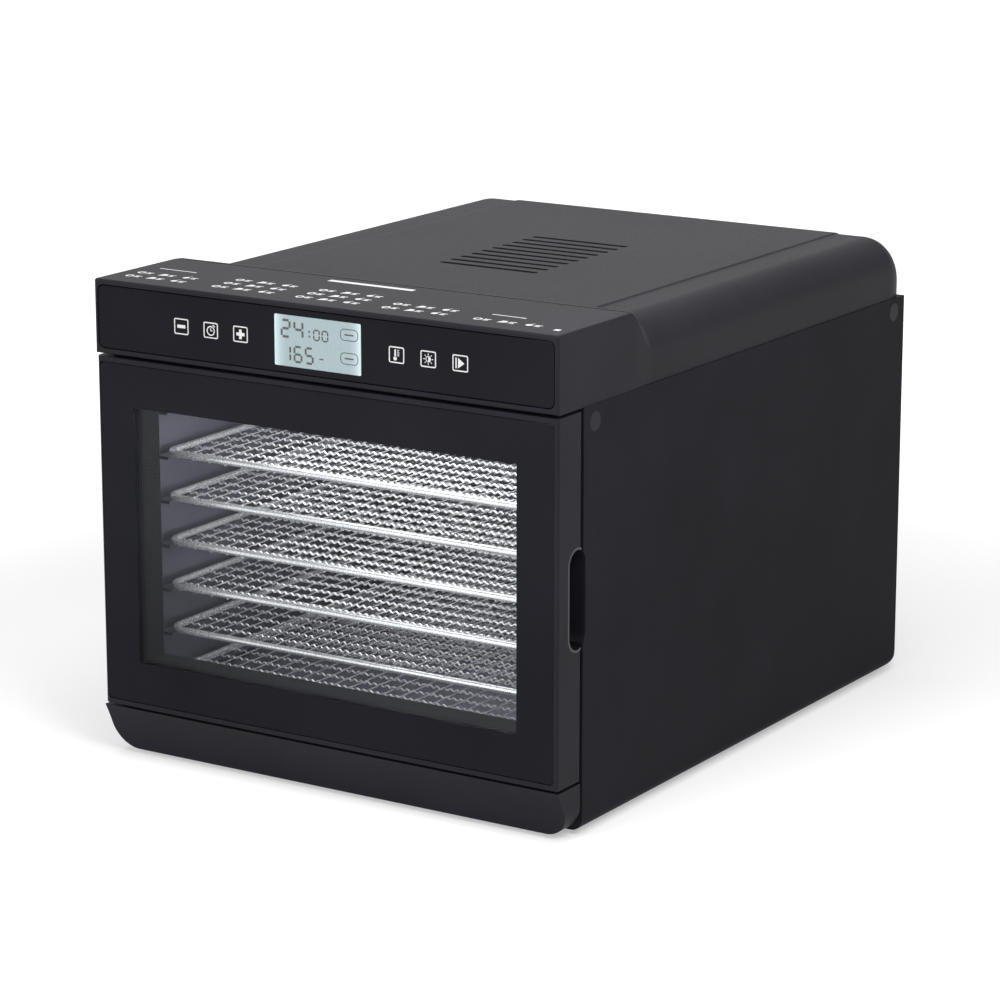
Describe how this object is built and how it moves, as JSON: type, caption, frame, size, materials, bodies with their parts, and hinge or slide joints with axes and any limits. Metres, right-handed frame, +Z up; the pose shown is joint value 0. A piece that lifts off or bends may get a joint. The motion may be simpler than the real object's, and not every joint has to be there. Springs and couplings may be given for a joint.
{
  "type": "food dehydrator",
  "caption": "Countertop food dehydrator with a hinged glass door, stacked wire trays, a rear fan heater and a touch panel above the door.",
  "frame": {"origin": "on the surface the feet stand on, under the centre of the footprint", "axes": "+X to the right seen from the door, +Y from the door towards the rear, +Z up"},
  "size_m": [0.345, 0.45, 0.315],
  "materials": {
    "body_paint": "charcoal paint with a fine satin texture",
    "body_plastic": "charcoal plastic with a fine satin texture",
    "dark_plastic": "near-black moulded plastic",
    "back_sheet": "charcoal paint",
    "panel_gloss": "polished black",
    "display_face": "pale lit display",
    "door_glass": "clear glass with a printed black border",
    "slot_insert": "black moulded plastic",
    "black_rubber": "matt black",
    "gasket_rubber": "dark grey silicone",
    "zinc_steel": "zinc-plated",
    "magnet_steel": "plain magnet",
    "liner_steel": "bright stainless sheet",
    "tray_wire": "bright electropolished wire",
    "fan_alloy": "plain sheet",
    "motor_iron": "laminated iron",
    "bearing_bronze": "sintered bronze",
    "ceramic": "off-white ceramic",
    "heater_tube": "heat-darkened tube",
    "sensor_metal": "plain",
    "circuit_board": "green board",
    "lamp_lens": "frosted",
    "lamp_case": "white plastic",
    "bush_plastic": "acetal"
  },
  "bodies": {
    "housing": {"left_side_panel": "body_paint", "right_side_panel": "body_paint", "top_cover": "body_plastic", "control_housing": "body_plastic", "front_plinth": "body_plastic", "base_pan": "dark_plastic", "front_frame": "dark_plastic", "side_plugs": "dark_plastic", "rear_panel": "back_sheet", "control_panel": "panel_gloss", "display": "display_face", "rubber_feet": "black_rubber", "cord_gland": "black_rubber", "foot_screws": "zinc_steel", "rear_screws": "zinc_steel", "catch_plates": "zinc_steel", "hinge_pins": "zinc_steel", "motor_bracket": "zinc_steel", "motor_rear_strap": "zinc_steel", "touch_pads": "zinc_steel", "chamber_liner": "liner_steel", "air_baffle": "liner_steel", "left_tray_rails": "liner_steel", "right_tray_rails": "liner_steel", "motor_stator": "motor_iron", "motor_bearings": "bearing_bronze", "heater_blocks": "ceramic", "board_posts": "ceramic", "heater_element": "heater_tube", "thermostat": "sensor_metal", "temperature_sensor": "sensor_metal", "power_board": "circuit_board", "control_board": "circuit_board", "lamp_board": "circuit_board", "lamp_lens": "lamp_lens", "lamp_housing": "lamp_case"},
    "door": {"door_frame": "body_plastic", "door_glass": "door_glass", "door_inner_frame": "dark_plastic", "door_gasket": "gasket_rubber", "door_handle": "slot_insert", "door_magnets": "magnet_steel", "hinge_bushes": "bush_plastic"},
    "fan": {"fan_impeller": "fan_alloy", "motor_shaft": "zinc_steel", "motor_rotor": "motor_iron"},
    "tray_1": {"tray_1": "tray_wire"},
    "tray_2": {"tray_2": "tray_wire"},
    "tray_3": {"tray_3": "tray_wire"},
    "tray_4": {"tray_4": "tray_wire"},
    "tray_5": {"tray_5": "tray_wire"},
    "tray_6": {"tray_6": "tray_wire"},
    "tray_7": {"tray_7": "tray_wire"}
  },
  "joints": [
    {"name": "door_hinge", "type": "hinge", "parent": "housing", "child": "door", "pos_m": [-0.1665, -0.206, 0.15075], "axis": [0, 0, -1], "range_deg": [0, 110]},
    {"name": "fan_spin", "type": "hinge", "parent": "housing", "child": "fan", "pos_m": [0, 0.164, 0.1495], "axis": [0, 1, 0], "continuous": true},
    {"name": "tray_1_slide", "type": "slide", "parent": "housing", "child": "tray_1", "axis": [0, -1, 0], "range_m": [0, 0.29]},
    {"name": "tray_2_slide", "type": "slide", "parent": "housing", "child": "tray_2", "axis": [0, -1, 0], "range_m": [0, 0.29]},
    {"name": "tray_3_slide", "type": "slide", "parent": "housing", "child": "tray_3", "axis": [0, -1, 0], "range_m": [0, 0.29]},
    {"name": "tray_4_slide", "type": "slide", "parent": "housing", "child": "tray_4", "axis": [0, -1, 0], "range_m": [0, 0.29]},
    {"name": "tray_5_slide", "type": "slide", "parent": "housing", "child": "tray_5", "axis": [0, -1, 0], "range_m": [0, 0.29]},
    {"name": "tray_6_slide", "type": "slide", "parent": "housing", "child": "tray_6", "axis": [0, -1, 0], "range_m": [0, 0.29]},
    {"name": "tray_7_slide", "type": "slide", "parent": "housing", "child": "tray_7", "axis": [0, -1, 0], "range_m": [0, 0.29]}
  ],
  "couplings": [
    {"joint": "tray_1_slide", "follows": "door_hinge", "m_per_rad": 0.03},
    {"joint": "tray_2_slide", "follows": "door_hinge", "m_per_rad": 0.03},
    {"joint": "tray_3_slide", "follows": "door_hinge", "m_per_rad": 0.03},
    {"joint": "tray_4_slide", "follows": "door_hinge", "m_per_rad": 0.03},
    {"joint": "tray_5_slide", "follows": "door_hinge", "m_per_rad": 0.03},
    {"joint": "tray_6_slide", "follows": "door_hinge", "m_per_rad": 0.03},
    {"joint": "tray_7_slide", "follows": "door_hinge", "m_per_rad": 0.03}
  ]
}
